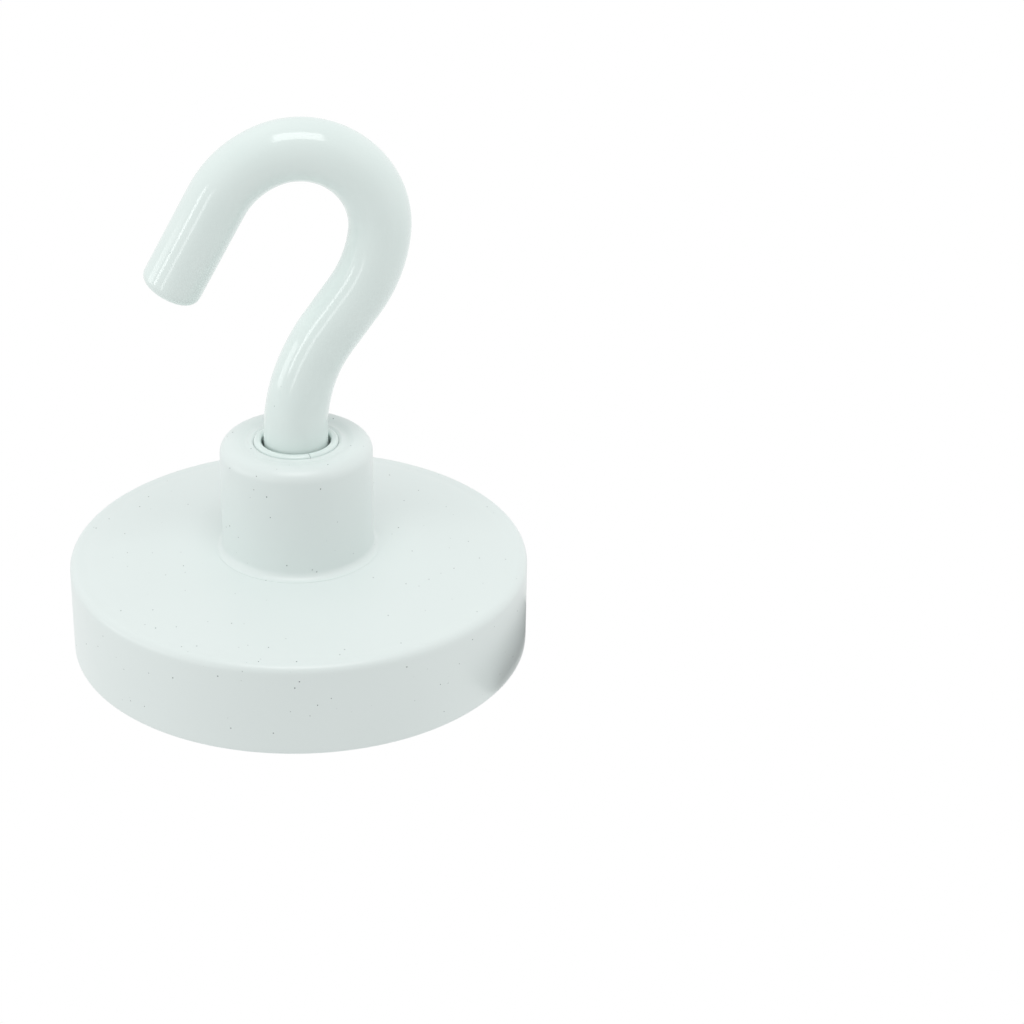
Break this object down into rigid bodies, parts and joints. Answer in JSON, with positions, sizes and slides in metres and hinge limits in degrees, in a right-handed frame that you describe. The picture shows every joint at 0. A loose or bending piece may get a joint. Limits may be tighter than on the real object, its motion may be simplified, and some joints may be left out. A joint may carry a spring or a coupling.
{
  "type": "hook pot magnet",
  "caption": "White coated round pot magnet with a tall threaded bush and a bent open rod hook that screws out of it; the face holds to iron and steel.",
  "frame": {"origin": "middle of the holding face, on the axis of the thread", "axes": "+Z from the holding face up the thread to the hook; the hook lies in the XZ plane and opens towards -X"},
  "size_m": [0.0322, 0.0322, 0.0388],
  "materials": {
    "white_powder_coat": "satin powder coat with fine orange peel",
    "white_gloss_coat": "semi-gloss stoved coat",
    "nickel_plated_magnet": "dark satin plating, finely ground",
    "black_resin": "cast epoxy, glossy"
  },
  "bodies": {
    "magnet_body": {"steel_pot": "white_powder_coat", "threaded_bush": "white_powder_coat", "magnet_disc": "nickel_plated_magnet", "resin_ring": "black_resin", "glue_bed": "black_resin"},
    "collar": {"shank_collar": "white_gloss_coat"},
    "hook": {"hook": "white_gloss_coat"}
  },
  "joints": [
    {"name": "hook_rise", "type": "slide", "parent": "magnet_body", "child": "collar", "axis": [0, 0, 1], "range_m": [0, 0.0072]},
    {"name": "hook_turn", "type": "hinge", "parent": "collar", "child": "hook", "pos_m": [0, 0, 0.0152], "axis": [0, 0, 1], "range_deg": [0, 3240]}
  ],
  "couplings": [
    {"joint": "hook_rise", "follows": "hook_turn", "m_per_rad": 0.00012732}
  ]
}
